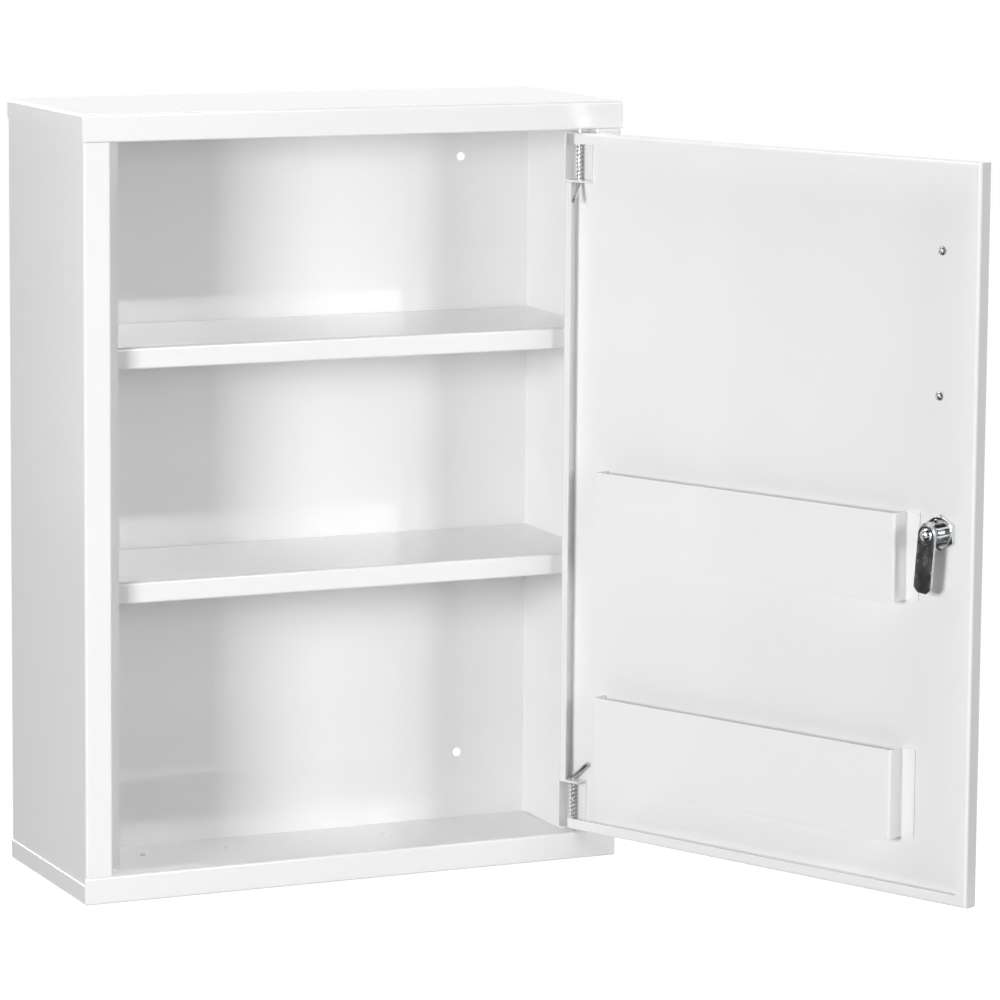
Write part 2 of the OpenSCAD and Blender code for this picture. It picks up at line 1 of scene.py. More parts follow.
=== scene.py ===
"""Looks of the wall-hung medicine cabinet: camera, studio, finishes and the turned, bent and stamped parts."""
import math

import bpy
import numpy as np
from mathutils import Matrix, Vector


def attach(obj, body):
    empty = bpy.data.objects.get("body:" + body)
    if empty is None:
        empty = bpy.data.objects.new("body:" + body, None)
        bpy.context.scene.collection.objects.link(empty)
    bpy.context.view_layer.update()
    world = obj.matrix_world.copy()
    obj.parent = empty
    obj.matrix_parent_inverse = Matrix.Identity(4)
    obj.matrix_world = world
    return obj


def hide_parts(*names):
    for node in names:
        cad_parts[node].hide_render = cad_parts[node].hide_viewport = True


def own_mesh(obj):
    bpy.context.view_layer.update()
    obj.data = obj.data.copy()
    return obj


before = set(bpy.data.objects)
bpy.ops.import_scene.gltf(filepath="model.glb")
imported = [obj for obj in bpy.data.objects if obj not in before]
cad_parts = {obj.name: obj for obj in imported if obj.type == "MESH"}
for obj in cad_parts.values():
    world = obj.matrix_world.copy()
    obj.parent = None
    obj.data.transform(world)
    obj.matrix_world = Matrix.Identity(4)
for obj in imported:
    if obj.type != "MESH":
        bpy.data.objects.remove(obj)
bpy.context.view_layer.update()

# Sizes in millimetres and angles in radians, as in the part's source. Places on the door are the shut
# door's, from the hinge axis
OPEN = math.radians(114.0)
HINGE_X, HINGE_Y = 189.0, -164.8
SKIN_IN, SHEET = -5.6, 1.0
RUN_FIT = 0.08


# ---------- camera ----------

def camera():
    """Camera at the photo's place. Forward comes from yaw and pitch, and roll turns the picture about it."""
    yaw, pitch, roll = (math.radians(angle) for angle in (24.497, -7.745, 0.447))
    stand = (-1.3946, -3.4754, 0.5599)
    forward = Vector((math.sin(yaw) * math.cos(pitch), math.cos(yaw) * math.cos(pitch), math.sin(pitch)))
    level = Vector((math.cos(yaw), -math.sin(yaw), 0.0))
    rise = level.cross(forward)
    right = level * math.cos(roll) + rise * math.sin(roll)
    up = rise * math.cos(roll) - level * math.sin(roll)
    data = bpy.data.cameras.new("camera")
    data.sensor_width = 36.0
    data.lens = 170.18
    data.shift_x = 0.0101
    data.shift_y = -0.0945
    data.clip_start = 0.05
    data.clip_end = 100.0
    body = bpy.data.objects.new("camera", data)
    turn = Matrix((right, up, -forward)).transposed().to_4x4()
    body.matrix_world = Matrix.Translation(stand) @ turn
    bpy.context.scene.collection.objects.link(body)
    bpy.context.scene.camera = body


camera()


# ---------- surfaces ----------

def skin(name, *grids, ring=True, loop=False, sharp=38.0):
    """One mesh over grids of points, each rows by columns. ring joins the last column to the first, and loop
    the last row to the first. A row whose points coincide becomes one point. Faces are turned to enclose a
    positive volume: the sum of a . (b x c) / 6 over the triangles."""
    points, quads, start = [], [], 0
    for grid in grids:
        grid = np.asarray(grid, float)
        rows, cols = grid.shape[:2]
        number = np.arange(rows * cols).reshape(rows, cols)
        pole = np.ptp(grid, axis=1).max(axis=1) < 1e-9
        number[pole] = number[pole][:, :1]
        if ring:
            number = np.hstack([number, number[:, :1]])
        if loop:
            number = np.vstack([number, number[:1]])
        corners = (number[:-1, :-1], number[:-1, 1:], number[1:, 1:], number[1:, :-1])
        faces = np.stack(corners, -1).reshape(-1, 4)
        flat = grid.reshape(-1, 3)
        a, b, c, d = (flat[faces[:, k]] for k in range(4))
        volume = np.einsum("ij,ij", a, np.cross(b, c)) + np.einsum("ij,ij", a, np.cross(c, d))
        if volume < 0:
            faces = faces[:, ::-1]
        points.append(flat)
        quads.append(faces + start)
        start += rows * cols
    points, quads = np.vstack(points), np.vstack(quads)
    used, quads = np.unique(quads, return_inverse=True)
    points, quads = points[used], quads.reshape(-1, 4)
    repeat = np.array([quads[:, k] == quads[:, (k + 1) % 4] for k in range(4)])
    whole = ~repeat.any(axis=0)
    shapes = quads[whole].tolist()
    for k in range(4):
        keep = [j for j in range(4) if j != k]
        shapes += quads[repeat[k] & (repeat.sum(axis=0) == 1)][:, keep].tolist()
    mesh = bpy.data.meshes.new(name)
    mesh.from_pydata(points.tolist(), [], shapes)
    mesh.polygons.foreach_set("use_smooth", np.ones(len(mesh.polygons), bool))
    mesh.set_sharp_from_angle(angle=math.radians(sharp))
    mesh.update()
    piece = bpy.data.objects.new(name, mesh)
    bpy.context.scene.collection.objects.link(piece)
    return piece


def eased(corners, steps=4):
    """A chain of (x, y, cut) with each corner replaced by the curve (1-t)^2 A + 2t(1-t) C + t^2 B,
    where C is the corner, and A and B lie at the distance cut from it on the two sides."""
    corners = np.asarray(corners, float)
    rows = [corners[:1, :2]]
    t = np.linspace(0.0, 1.0, steps + 1)[:, None]
    for before, here, after in zip(corners[:-2], corners[1:-1], corners[2:]):
        if here[2] <= 0:
            rows.append(here[None, :2])
            continue
        back, ahead = before[:2] - here[:2], after[:2] - here[:2]
        a = here[:2] + back / np.linalg.norm(back) * here[2]
        b = here[:2] + ahead / np.linalg.norm(ahead) * here[2]
        rows.append((1 - t) ** 2 * a + 2 * t * (1 - t) * here[:2] + t ** 2 * b)
    rows.append(corners[-1:, :2])
    return np.vstack(rows)


def even_angles(count):
    """Even angles round a circle."""
    return np.arange(count) * 2 * np.pi / count


def round_angles(count, *corners):
    """Even angles round a circle, with the angles of a shape's own corners added to them."""
    extra = np.mod(np.asarray(corners, float), 2 * np.pi)
    return np.unique(np.round(np.concatenate([even_angles(count), extra]), 6))


def turned(profile, angles):
    """Rows of (radius, height) turned round the local axis: (r cos t, r sin t, h). A radius or a height is
    one number, or an array with one value for each angle."""
    c, s = np.cos(angles), np.sin(angles)
    return np.stack([np.stack([r * c, r * s, np.full_like(angles, h)], -1) for r, h in profile])


def swept(path, tangent, across, radii, sides):
    """A round rod along a path: path + r (cos t across + sin t (tangent x across))."""
    t = even_angles(sides)
    side = np.cross(tangent, across)
    ring = np.cos(t)[None, :, None] * across[:, None] + np.sin(t)[None, :, None] * side[:, None]
    return path[:, None] + np.asarray(radii)[:, None, None] * ring


# ---------- places ----------

def on_door(points):
    """Shut-door millimetres from the hinge axis to metres: a turn about the axis by the open angle."""
    x, y, z = np.moveaxis(np.asarray(points, float), -1, 0)
    c, s = math.cos(OPEN), math.sin(OPEN)
    return 0.001 * np.stack([HINGE_X + x * c - y * s, HINGE_Y + x * s + y * c, z], -1)


def through_door(points, across, up):
    """Local (a, b, h) on the door: a to the hinges, b down, and h inwards from the skin's inner face."""
    a, b, h = np.moveaxis(np.asarray(points, float), -1, 0)
    return on_door(np.stack([across + a, SKIN_IN + h, up - b], -1))


def at_lock(points):
    return through_door(points, LOCK_X, 0.0)


# ---------- materials ----------

def material(name):
    """A new material with its shader, and a function that adds a node and links its inputs."""
    made = bpy.data.materials.new(name)
    made.use_nodes = True
    tree = made.node_tree
    shader = tree.nodes["Principled BSDF"]

    def add(kind, values=None, links=None, **settings):
        node = tree.nodes.new(kind)
        for key, value in settings.items():
            setattr(node, key, value)
        for key, value in (values or {}).items():
            node.inputs[key].default_value = value
        for key, output in (links or {}).items():
            tree.links.new(output, node.inputs[key])
        return node

    def link(output, socket):
        tree.links.new(output, shader.inputs[socket])

    return made, shader, add, link


def spread(add, source, low, high, out_low, out_high):
    """Maps a noise from low..high to out_low..out_high, held at its ends."""
    values = {1: low, 2: high, 3: out_low, 4: out_high}
    return add("ShaderNodeMapRange", values, {0: source}, clamp=True).outputs[0]


def powder_coat(name, shade=0.92):
    """Glossy white powder coat: two noises raise its orange peel, the finer one also varies the gloss, and a
    broad one shifts the shade slightly."""
    made, shader, add, link = material(name)
    place = add("ShaderNodeTexCoord").outputs["Object"]
    broad = add("ShaderNodeTexNoise", {"Scale": 9.0, "Detail": 3.0, "Roughness": 0.5}, {"Vector": place})
    peel = add("ShaderNodeTexNoise", {"Scale": 420.0, "Detail": 1.0, "Roughness": 0.4}, {"Vector": place})
    fine = add("ShaderNodeTexNoise", {"Scale": 1500.0, "Detail": 2.0, "Roughness": 0.5}, {"Vector": place})
    tone = add("ShaderNodeMix", {"A": (shade - 0.008, shade - 0.006, shade - 0.006, 1),
                                 "B": (shade + 0.006, shade + 0.007, shade + 0.008, 1)},
               {"Factor": spread(add, broad.outputs[0], 0.3, 0.7, 0.0, 1.0)}, data_type="RGBA")
    link(tone.outputs["Result"], "Base Color")
    link(spread(add, fine.outputs[0], 0.3, 0.7, 0.09, 0.13), "Roughness")
    first = add("ShaderNodeBump", {"Strength": 0.10, "Distance": 0.00010}, {"Height": peel.outputs[0]})
    second = add("ShaderNodeBump", {"Strength": 0.06, "Distance": 0.00003},
                 {"Height": fine.outputs[0], "Normal": first.outputs[0]})
    link(second.outputs[0], "Normal")
    shader.inputs["IOR"].default_value = 1.5
    return made


def plated(name, colour, rough, streak, stretch=(1.0, 1.0, 1.0), grain=900.0):
    """Plated metal: a stretched noise clouds the tone and the gloss, from rough[0] to rough[1], and a fine one
    lifts the surface."""
    made, shader, add, link = material(name)
    place = add("ShaderNodeTexCoord").outputs["Object"]
    pulled = add("ShaderNodeMapping", {"Scale": stretch}, {"Vector": place}).outputs[0]
    cloud = add("ShaderNodeTexNoise", {"Scale": streak, "Detail": 4.0, "Roughness": 0.6}, {"Vector": pulled})
    fine = add("ShaderNodeTexNoise", {"Scale": grain, "Detail": 2.0, "Roughness": 0.5}, {"Vector": pulled})
    darker = tuple(c * 0.90 for c in colour) + (1,)
    tone = add("ShaderNodeMix", {"A": darker, "B": tuple(colour) + (1,)},
               {"Factor": spread(add, cloud.outputs[0], 0.3, 0.65, 0.0, 1.0)}, data_type="RGBA")
    link(tone.outputs["Result"], "Base Color")
    link(spread(add, cloud.outputs[0], 0.3, 0.7, rough[1], rough[0]), "Roughness")
    bump = add("ShaderNodeBump", {"Strength": 0.12, "Distance": 0.00003}, {"Height": fine.outputs[0]})
    link(bump.outputs[0], "Normal")
    shader.inputs["Metallic"].default_value = 1.0
    return made


paint = powder_coat("white_powder_coat")
zinc = plated("bright_zinc", (0.66, 0.67, 0.68), (0.14, 0.30), 160.0)
chrome = plated("polished_chrome", (0.78, 0.79, 0.80), (0.05, 0.11), 220.0)
stamped = plated("stamped_zinc", (0.70, 0.71, 0.73), (0.12, 0.34), 120.0, stretch=(1.0, 1.0, 0.5))
wire = plated("bright_wire", (0.55, 0.56, 0.57), (0.16, 0.28), 500.0)
rod = plated("zinc_rod", (0.66, 0.67, 0.68), (0.12, 0.24), 260.0, stretch=(1.0, 1.0, 0.3))

FINISHES = {"white_paint": paint, "zinc_plate": zinc, "chrome_plate": chrome, "spring_steel": wire}


def place(piece, body, node, slot, finish=None):
    """Puts a finished piece in a CAD node's stead, with its body, slot and material."""
    piece.data.materials.append(finish or FINISHES[slot])
    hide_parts(node)
    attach(piece, body)
    return piece


# ---------- the cam lock ----------

# Radii, with half the spacing of the barrel's flats and half the side of the square that drives the cam
BARREL_R, BARREL_FLAT, BEZEL_R = 9.5, 8.25, 11.5
PLUG_R, PLUG_HEAD_R, SQUARE = 6.0, 7.25, 3.5
# Heights inwards from the skin's inner face, and thicknesses
LOCK_FACE, BARREL_END, CAM_LOW, CAM_HIGH = -3.2, 16.6, 16.8, 18.8
PLUG_HEAD_T, WASHER_T = 1.6, 0.8
LOCK_X, CAM_TILT = -349.5, math.radians(4.6)


def lock_barrel():
    """Barrel with a fine thread cut off by two flats, behind a collar with an eased rim. The thread lowers the
    radius by a triangle wave of height / pitch - angle / turn, and the flats hold r |sin t| to half their
    spacing."""
    pitch, thread_depth, lead_in = 1.0, 0.42, 0.6
    first, last, step = 16.25, 0.2, 0.125
    bore, recess, recess_end = PLUG_R + RUN_FIT, PLUG_HEAD_R + RUN_FIT, -1.3
    corner = math.asin(BARREL_FLAT / BARREL_R)
    t = round_angles(144, *[s * corner + k for s in (1, -1) for k in (0, np.pi)])
    level = BARREL_FLAT / np.maximum(np.abs(np.sin(t)), 1e-6)
    whole = np.full_like(t, BARREL_R)

    def cut(radius):
        return np.minimum(radius, level)

    heights = np.arange(first, last, -step)
    wave = np.abs(2 * np.mod(heights[:, None] / pitch - t[None] / (2 * np.pi), 1.0) - 1)
    rows = [(bore, BARREL_END), (cut(whole - lead_in), BARREL_END)]
    rows += [(cut(whole - thread_depth * w), h) for w, h in zip(wave, heights)]
    rows += [(cut(whole), 0.1), (cut(whole), -0.999)]
    rows += [*eased([(BARREL_R + 0.1, -SHEET, 0), (BEZEL_R, -SHEET, 0.25), (BEZEL_R, LOCK_FACE, 0.9),
                     (recess, LOCK_FACE, 0.15), (recess, recess_end, 0), (bore, recess_end, 0)])]
    return skin("threaded_lock_barrel", at_lock(turned(rows, t)), loop=True, sharp=30)


def hex_nut():
    """Six-sided nut: its edge lies at half / cos of the angle to the nearest side's middle. Both faces are
    turned down towards the corners by (r - start) tan 32, less at the back, and the bore's rims are eased."""
    half, bore, thick = 12.0, 9.65, 4.0
    start, slope, at_back = 11.75, math.tan(math.radians(32)), 0.6
    rim, rim_deep, land = 0.5, 0.45, 0.14
    side = np.pi / 3
    t = round_angles(144, *(side / 2 + np.arange(6) * side))
    edge = half / np.cos(t - np.round(t / side) * side)

    def across(share):
        return bore + rim + (edge - bore - rim) * share

    def drop(r):
        return np.maximum(0.0, r - start) * slope

    rows = [(across(f), thick - drop(across(f))) for f in (0.0, 0.35, 0.6, 0.8, 0.92, 1.0)]
    rows += [(edge, thick - land - drop(edge)), (edge, land + at_back * drop(edge))]
    rows += [(across(f), at_back * drop(across(f))) for f in (1.0, 0.6, 0.0)]
    rows += [(bore, rim_deep), (bore, thick - rim_deep)]
    return skin("chamfered_lock_nut", at_lock(turned(rows, t)), loop=True, sharp=20)


def lock_plug():
    """Turning plug: keyhole walls, a head with an eased rim, the body and the square that drives the cam."""
    half_wide, half_long, keyhole_end = 0.9, 4.0, 9.2
    hole, hole_end, chamfer, land = 2.0, 9.9, 0.2, 5.2
    head_back = LOCK_FACE + PLUG_HEAD_T
    slot = math.atan2(half_long, half_wide)
    square_corners = np.pi / 4 + np.arange(4) * np.pi / 2 - CAM_TILT
    t = round_angles(96, slot, np.pi - slot, np.pi + slot, -slot, *square_corners)
    c, s = np.maximum(np.abs(np.cos(t)), 1e-6), np.maximum(np.abs(np.sin(t)), 1e-6)
    keyhole = np.minimum(half_wide / c, half_long / s)
    turn = t + CAM_TILT
    square = SQUARE / np.maximum(np.abs(np.cos(turn)), np.abs(np.sin(turn)))
    rows = [(0.0, keyhole_end), (keyhole, keyhole_end)]
    rows += [(keyhole, LOCK_FACE + chamfer), (keyhole + chamfer, LOCK_FACE)]
    rows += [*eased([(land, LOCK_FACE, 0), (PLUG_HEAD_R, LOCK_FACE, 0.3), (PLUG_HEAD_R, head_back, 0),
                     (PLUG_R, head_back, 0), (PLUG_R, CAM_LOW, 0), (land, CAM_LOW, 0)])]
    rows += [(square, CAM_LOW), (square, CAM_HIGH), (hole, CAM_HIGH), (hole, hole_end), (0.0, hole_end)]
    return skin("lock_plug_with_keyhole", at_lock(turned(rows, t)), sharp=30)


def lock_cam():
    """Stamped cam: a loop of a half circle and a tongue with cut corners, carried round its edge by
    p - n (r - r cos t) with height r sin t, and closed inwards to the square hole."""
    half, tip, corner, ease = 8, 44, 4, 1.0
    side_run, play, under, over = 37.8, 0.04, 0.2, 0.45
    arc = np.linspace(np.pi, 2 * np.pi, 49)
    top = np.stack([half * np.cos(arc), half * np.sin(arc)], -1)
    tongue = eased([(half, 0, 0), (half, tip - corner, ease), (half - corner, tip, ease),
                    (corner - half, tip, ease), (-half, tip - corner, ease), (-half, 0, 0)], 6)
    sides = np.linspace(0.04, 0.96, 12)
    right = np.stack([half + 0 * sides, sides * side_run], -1)
    left = right[::-1] * (-1, 1)
    outline = np.vstack([top, right, tongue[1:-1], left])
    run = np.roll(outline, -1, 0) - np.roll(outline, 1, 0)
    out = np.stack([run[:, 1], -run[:, 0]], -1) / np.linalg.norm(run, axis=1)[:, None]
    angle = np.arctan2(outline[:, 1], outline[:, 0])
    way = np.stack([np.cos(angle), np.sin(angle)], -1)
    hole = ((SQUARE + play) / np.abs(way).max(axis=1))[:, None] * way
    between = hole + (outline - hole) * 0.5
    bend = np.linspace(0, np.pi / 2, 5)
    rows = [(hole, CAM_LOW), (between, CAM_LOW)]
    for b in bend:
        rows.append((outline - out * (under - under * math.sin(b)), CAM_LOW + under - under * math.cos(b)))
    for b in bend:
        rows.append((outline - out * (over - over * math.cos(b)), CAM_HIGH - over + over * math.sin(b)))
    rows += [(between, CAM_HIGH), (hole, CAM_HIGH)]
    c, s = math.cos(CAM_TILT), math.sin(CAM_TILT)
    tilt = np.array([[c, -s], [s, c]])
    grid = np.stack([np.column_stack([p @ tilt, np.full(len(p), h)]) for p, h in rows])
    return skin("stamped_lock_cam", at_lock(grid), loop=True, sharp=35)


def dome_height(rho, wide, high):
    """Height of a ball's cap wide across and high, at the distance rho from its middle."""
    ball = ((wide / 2) ** 2 + high ** 2) / (2 * high)
    return high - ball + np.sqrt(ball ** 2 - rho ** 2)


def cross_recess(x, y, reach, width, deep):
    """Depth of a cross-shaped driver recess: full within the arms' half width and fading to its ends."""
    u, v = np.maximum(np.abs(x), np.abs(y)), np.minimum(np.abs(x), np.abs(y))
    return deep * np.clip((width - v) / (0.35 * width), 0, 1) * np.clip((reach - u) / (0.45 * reach), 0, 1)


def driven_head(wide, high, reach, width, deep, shank_r, shank_from, seat):
    """A screw: pointed shank, flat underside, eased rim, and a dome lowered by the cross recess. The dome is
    read a little nearer its middle, which keeps its rim off the flat."""
    rim, ease, point, nearer = wide / 2, 0.2, 0.5, 0.985
    t = even_angles(96)
    rows = [(0.0, shank_from), (shank_r - point, shank_from), (shank_r, shank_from + point), (shank_r, seat),
            (rim - ease, seat), (rim, seat + ease)]
    for rho in np.linspace(rim, 0, 34):
        dome = np.maximum(dome_height(rho * nearer, wide, high), ease)
        rows.append((rho, seat + dome - cross_recess(rho * np.cos(t), rho * np.sin(t), reach, width, deep)))
    return turned(rows, t)


def round_washer():
    """A flat ring with its rims eased, whose section is a closed loop."""
    bore, rim, top = 2.15, 7.25, CAM_HIGH + WASHER_T
    middle = CAM_HIGH + WASHER_T / 2
    section = eased([(bore, middle, 0), (bore, CAM_HIGH, 0), (rim, CAM_HIGH, 0.12), (rim, top, 0.3),
                     (bore, top, 0.1), (bore, middle, 0)])
    return skin("round_cam_washer", at_lock(turned(section[:-1], even_angles(96))), loop=True)


def cam_screw():
    screw = driven_head(wide=10.5, high=3.6, reach=2.9, width=0.75, deep=1.5, shank_r=2.0, shank_from=10.1,
                        seat=CAM_HIGH + WASHER_T)
    return skin("domed_cam_screw", at_lock(screw), sharp=50)


place(lock_barrel(), "door", "lock_housing", "chrome_plate")
place(hex_nut(), "door", "lock_nut", "chrome_plate")
place(lock_plug(), "lock_turning_parts", "lock_plug", "chrome_plate")
place(lock_cam(), "lock_turning_parts", "lock_cam", "zinc_plate", stamped)
place(round_washer(), "lock_turning_parts", "cam_washer", "zinc_plate")
place(cam_screw(), "lock_turning_parts", "cam_screw", "zinc_plate")


# ---------- the pull handle and its screws ----------

HANDLE_X, HANDLE_LOW, HANDLE_SPAN = -345.0, 101.0, 107.3


def pull_handle():
    """A bar along leg, bend, grip, bend and leg. The path is planar, so the section keeps one direction across
    it. The radius flares from the leg to each foot, and a blind screw hole runs up each leg."""
    bar_r, foot_r, foot_end, hole_r, hole_end = 4.5, 6.5, -3.0, 1.75, -13.0
    bend_r, grip = 12.0, -27.0
    foot = eased([(-SHEET, foot_r, 0), (foot_end, foot_r, 0.5), (foot_end, 5.1, 0.3), (-5.2, bar_r, 1.2),
                  (-8.0, bar_r, 0)], 5)
    foot[0, 1] = foot_r - 0.2
    hole = np.array([(hole_end, 0.0), (hole_end, hole_r), (-SHEET, hole_r)])
    leg = np.vstack([hole, foot, [(-12.0, bar_r)]])
    turn = np.linspace(0, np.pi / 2, 17)
    bend = np.stack([-bend_r + bend_r * np.cos(turn), grip + bend_r - bend_r * np.sin(turn)], -1)
    half = np.linspace(-bend_r - 4, -HANDLE_SPAN / 2, 6)
    b = np.concatenate([0 * leg[:, 0], bend[:, 0], half])
    h = np.concatenate([leg[:, 0], bend[:, 1], 0 * half + grip])
    r = np.concatenate([leg[:, 1], bar_r + 0 * bend[:, 0], bar_r + 0 * half])
    tb = np.concatenate([0 * leg[:, 0], -np.sin(turn), 0 * half - 1])
    th = np.concatenate([0 * leg[:, 0] - 1, -np.cos(turn), 0 * half])
    flip = slice(-2, None, -1)
    b = np.concatenate([b, -HANDLE_SPAN - b[flip]])
    h, r = np.concatenate([h, h[flip]]), np.concatenate([r, r[flip]])
    tb, th = np.concatenate([tb, tb[flip]]), np.concatenate([th, -th[flip]])
    path = np.stack([0 * b, b, h], -1)
    tangent = np.stack([0 * b, tb, th], -1)
    across = np.tile([1.0, 0.0, 0.0], (len(b), 1))
    bar = swept(path, tangent, across, r, 40)
    return skin("bent_pull_handle", through_door(bar, HANDLE_X, HANDLE_LOW), sharp=40)


def handle_screws():
    screw = driven_head(wide=7.2, high=2.6, reach=2.0, width=0.42, deep=0.9, shank_r=1.75, shank_from=-12.7,
                        seat=0.0)
    pair = [through_door(screw, HANDLE_X, HANDLE_LOW + up) for up in (0, HANDLE_SPAN)]
    return skin("domed_handle_screws", *pair, sharp=50)


place(pull_handle(), "door", "pull_handle", "chrome_plate")
place(handle_screws(), "door", "handle_screws", "zinc_plate")


# ---------- the hinges' pins, collars and springs ----------

PIN_R, PIN_TIP, ARM_START = 1.65, 283.0, 236.95
ARM_BEND, ARM_BEND_R, ARM_LEN = math.radians(47.0), 3.4, 17.0
UPPER_TURN, LOWER_TURN = math.radians(70), math.radians(-8)


def bent_pin(name, turn, side):
    """A rod with a pointed tip, bent through an arc to a straight arm with an eased end. Its plane is turned
    about the hinge axis, and side is 1 for the upper pin and -1 for its mirror image below."""
    point, point_r, ease, start = 0.8, 0.8, 0.25, 0.07
    arc = np.linspace(0, -ARM_BEND, 13)
    x = np.concatenate([[0] * 6, -ARM_BEND_R + ARM_BEND_R * np.cos(arc)])
    shaft = [PIN_TIP, PIN_TIP, PIN_TIP - point, PIN_TIP - 6, 270, 240]
    z = np.concatenate([shaft, ARM_START + ARM_BEND_R * np.sin(arc)])
    r = np.concatenate([[0, point_r, PIN_R, PIN_R, PIN_R, PIN_R], PIN_R + 0 * arc])
    away = np.array([-math.sin(ARM_BEND), -math.cos(ARM_BEND)])
    run = np.array([4.0, 10.0, ARM_LEN - ease, ARM_LEN - start, ARM_LEN, ARM_LEN])
    x = np.concatenate([x, x[-1] + away[0] * run])
    z = np.concatenate([z, z[-1] + away[1] * run])
    r = np.concatenate([r, [PIN_R, PIN_R, PIN_R, PIN_R - start, PIN_R - ease, 0]])
    tx = np.concatenate([[0] * 6, np.sin(arc), [away[0]] * 6])
    tz = np.concatenate([[-1] * 6, -np.cos(arc), [away[1]] * 6])
    c, s = math.cos(turn), math.sin(turn)
    path = np.stack([x * c, -x * s, side * z], -1)
    tangent = np.stack([tx * c, -tx * s, side * tz], -1)
    across = np.tile([s, c, 0.0], (len(x), 1))
    return skin(name, on_door(swept(path, tangent, across, r, 40)), sharp=40)


def pin_collar(name, side):
    """A small ring with its rims eased, whose section is a closed loop."""
    bore, rim, low, high = PIN_R + 0.01, 3.0, 273.5, 274.7
    middle = (low + high) / 2
    section = eased([(bore, middle, 0), (bore, low, 0.1), (rim, low, 0.25), (rim, high, 0.25),
                     (bore, high, 0.1), (bore, middle, 0)])
    rows = turned(section[:-1], even_angles(64))
    return skin(name, on_door(rows * (1, 1, side)), loop=True)


def coil_spring(name, side):
    """A wire of radius w along (R cos a, R sin a, z(a)), whose rise per turn is small in the first and last
    turn. The lower spring is turned over about the door's x, so both are wound the same way."""
    turns, radius, w = 11.0, 2.6, 0.45
    low, high, end_rate, end_share = 239.3, 272.75, 0.30, 0.7
    count = 48 * 11 + 1
    a = np.linspace(0, turns * 2 * np.pi, count)
    share = a / (2 * np.pi)
    rate = end_rate + (1 - end_rate) * np.clip(np.minimum(share, turns - share) / end_share, 0, 1) ** 2
    rise = np.concatenate([[0], np.cumsum((rate[1:] + rate[:-1]) / 2)])
    z = low + (high - low) * rise / rise[-1]
    slope = np.gradient(z, a)
    path = np.stack([radius * np.cos(a), radius * np.sin(a), z], -1)
    tangent = np.stack([-radius * np.sin(a), radius * np.cos(a), slope], -1)
    tangent /= np.linalg.norm(tangent, axis=1)[:, None]
    across = np.stack([np.cos(a), np.sin(a), 0 * a], -1)
    order = np.concatenate([[0, 0], np.arange(count), [count - 1, count - 1]])
    r = np.concatenate([[0, 0.7 * w], np.full(count, w), [0.7 * w, 0]])
    grid = swept(path[order], tangent[order], across[order], r, 12)
    return skin(name, on_door(grid * (1, side, side)), sharp=60)


place(bent_pin("upper_bent_pin", UPPER_TURN, 1), "upper_pin", "upper_hinge_pin", "zinc_plate", rod)
place(bent_pin("lower_bent_pin", LOWER_TURN, -1), "lower_pin", "lower_hinge_pin", "zinc_plate", rod)
place(pin_collar("upper_pressed_collar", 1), "upper_pin", "upper_pin_collar", "zinc_plate")
place(pin_collar("lower_pressed_collar", -1), "lower_pin", "lower_pin_collar", "zinc_plate")
for word, side in (("upper", 1), ("lower", -1)):
    spring = place(coil_spring(f"{word}_coil_spring", side), "door", f"{word}_hinge_spring", "spring_steel")
    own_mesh(spring)


# ---------- rivets in the floor ----------

RIVET_X, RIVET_Y, FLOOR_TOP = (-124.5, -53.5, 19.5, 81.5), -33.0, -299.0


def floor_rivets():
    """Flattened domes with an eased rim, on their shanks."""
    wide, high, ease, shank_r = 4.6, 1.47, 0.06, 1.2
    profile = [(0, -SHEET), (shank_r, -SHEET), (shank_r, 0.0), (wide / 2 - ease, 0.0)]
    profile += [(r, ease + dome_height(r, wide, high)) for r in np.linspace(wide / 2, 0, 12)]
    rows = turned(profile, even_angles(40))
    row = [0.001 * (rows + (x, RIVET_Y, FLOOR_TOP)) for x in RIVET_X]
    return skin("domed_floor_rivets", *row, sharp=50)


place(floor_rivets(), "cabinet", "floor_rivets", "white_paint")


# ---------- finishes of the CAD nodes that stay ----------

PAINTED = ["top_panel", "bottom_panel", "left_side_panel", "right_side_panel", "back_panel",
           "upper_shelf", "lower_shelf", "door_panel", "upper_hinge_bracket", "lower_hinge_bracket",
           "upper_door_pocket", "lower_door_pocket"]
for name in PAINTED:
    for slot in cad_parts[name].material_slots:
        slot.material = paint


# ---------- studio ----------

def seen_directly(nodes, links):
    """1 where the camera, a reflection or a refraction looks, and 0 for light that falls on surfaces."""
    path = nodes.new("ShaderNodeLightPath")
    level = path.outputs["Is Camera Ray"]
    for ray in ("Is Glossy Ray", "Is Transmission Ray"):
        either = nodes.new("ShaderNodeMath")
        either.operation = "MAXIMUM"
        links.new(level, either.inputs[0])
        links.new(path.outputs[ray], either.inputs[1])
        level = either.outputs[0]
    return level


